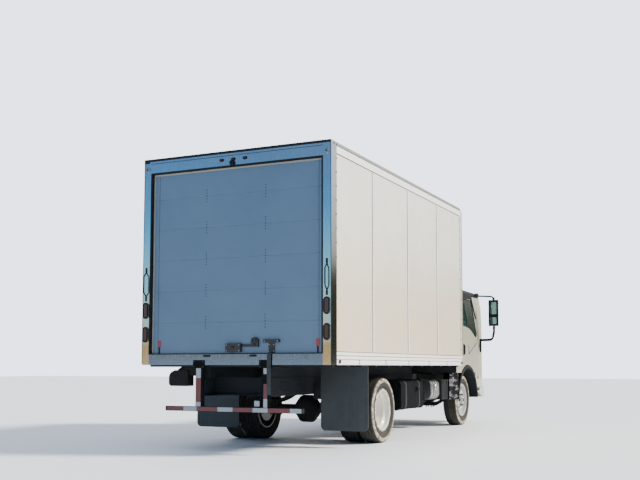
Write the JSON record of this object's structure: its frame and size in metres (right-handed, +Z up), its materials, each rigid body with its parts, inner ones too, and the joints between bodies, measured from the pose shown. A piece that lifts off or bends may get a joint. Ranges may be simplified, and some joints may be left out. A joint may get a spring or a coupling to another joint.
{
  "type": "low cab forward box truck",
  "caption": "Box truck with a low forward cab, dual rear wheels and a tall van body closed by a roll-up door.",
  "frame": {"origin": "on the ground under the middle of the truck's length and width", "axes": "-Y towards the front of the truck, +X to the driver's side, +Z up"},
  "size_m": [2.732, 7, 3.394],
  "materials": {
    "chassis_paint": "semi-gloss black chassis paint",
    "cast_iron": "painted castings, dusty",
    "spring_steel": "dark spring steel",
    "cab_paint": "gloss white",
    "bumper_paint": "gloss white",
    "cab_glass": "dark green tint",
    "door_glass": "dark green tint",
    "lamp_clear": "clear lens",
    "black_plastic": "grained black plastic",
    "seat_cloth": "grey woven cloth",
    "dash_plastic": "grained grey plastic",
    "body_panel": "gloss white laminated panel",
    "floor_wood": "laminated hardwood",
    "stainless": "brushed stainless steel",
    "rear_door_paint": "white baked enamel",
    "lamp_red": "red lens",
    "black_steel": "black powder coat",
    "zinc_steel": "zinc plated",
    "flap_rubber": "black rubber sheet",
    "heat_shield": "pressed bright aluminium",
    "wheel_paint": "white wheel enamel",
    "tyre": "black road tyre"
  },
  "bodies": {
    "root": {"frame_rail_left": "chassis_paint", "frame_rail_right": "chassis_paint", "frame_crossmembers": "chassis_paint", "front_axle": "cast_iron", "rear_axle": "cast_iron", "leaf_springs": "spring_steel", "engine_and_gearbox": "cast_iron", "driveshaft": "chassis_paint", "exhaust_pipe": "chassis_paint", "cab_mounts": "flap_rubber", "cab_floor": "cab_paint", "cab_shell": "cab_paint", "cab_roof": "cab_paint", "cab_front_panel": "cab_paint", "cab_glass": "cab_glass", "front_lamps": "lamp_clear", "wheel_arches": "black_plastic", "front_bumper": "bumper_paint", "seats": "seat_cloth", "dashboard": "dash_plastic", "steering_wheel": "dash_plastic", "mirrors": "black_plastic", "box_wall_left": "body_panel", "box_wall_right": "body_panel", "box_front_wall": "body_panel", "box_roof": "body_panel", "box_floor": "floor_wood", "box_sills": "chassis_paint", "box_beams": "chassis_paint", "rear_frame": "stainless", "rear_door": "rear_door_paint", "body_lamps": "lamp_red", "grab_handles": "black_steel", "door_latch": "zinc_steel", "underride_guard": "black_steel", "mud_flaps": "flap_rubber", "fuel_tank": "black_steel", "exhaust_canister": "heat_shield", "battery_box": "black_plastic"},
    "knuckle_left": {"knuckle_left": "cast_iron"},
    "knuckle_right": {"knuckle_right": "cast_iron"},
    "wheel_front_left": {"wheel_front_left": "wheel_paint", "tyre_front_left": "tyre"},
    "wheel_front_right": {"wheel_front_right": "wheel_paint", "tyre_front_right": "tyre"},
    "wheels_rear_left": {"wheels_rear_left": "wheel_paint", "tyres_rear_left": "tyre"},
    "wheels_rear_right": {"wheels_rear_right": "wheel_paint", "tyres_rear_right": "tyre"},
    "door_left": {"door_left": "cab_paint", "door_glass_left": "door_glass"},
    "door_right": {"door_right": "cab_paint", "door_glass_right": "door_glass"}
  },
  "joints": [
    {"name": "steer_left", "type": "hinge", "parent": "root", "child": "knuckle_left", "pos_m": [0.715, -2.305, 0.4055], "axis": [0, 0, 1], "range_deg": [-38, 38]},
    {"name": "spin_front_left", "type": "hinge", "parent": "knuckle_left", "child": "wheel_front_left", "pos_m": [0.837, -2.305, 0.4055], "axis": [1, 0, 0], "continuous": true},
    {"name": "spin_rear_left", "type": "hinge", "parent": "root", "child": "wheels_rear_left", "pos_m": [0.8195, 1.505, 0.4055], "axis": [1, 0, 0], "continuous": true},
    {"name": "swing_door_left", "type": "hinge", "parent": "root", "child": "door_left", "pos_m": [1.032, -2.975, 1.2], "axis": [0, 0, -1], "range_deg": [0, 70]},
    {"name": "steer_right", "type": "hinge", "parent": "root", "child": "knuckle_right", "pos_m": [-0.715, -2.305, 0.4055], "axis": [0, 0, 1], "range_deg": [-38, 38]},
    {"name": "spin_front_right", "type": "hinge", "parent": "knuckle_right", "child": "wheel_front_right", "pos_m": [-0.837, -2.305, 0.4055], "axis": [1, 0, 0], "continuous": true},
    {"name": "spin_rear_right", "type": "hinge", "parent": "root", "child": "wheels_rear_right", "pos_m": [-0.8195, 1.505, 0.4055], "axis": [1, 0, 0], "continuous": true},
    {"name": "swing_door_right", "type": "hinge", "parent": "root", "child": "door_right", "pos_m": [-1.032, -2.975, 1.2], "axis": [0, 0, 1], "range_deg": [0, 70]}
  ],
  "couplings": [
    {"joint": "steer_right", "follows": "steer_left", "ratio": 1}
  ]
}
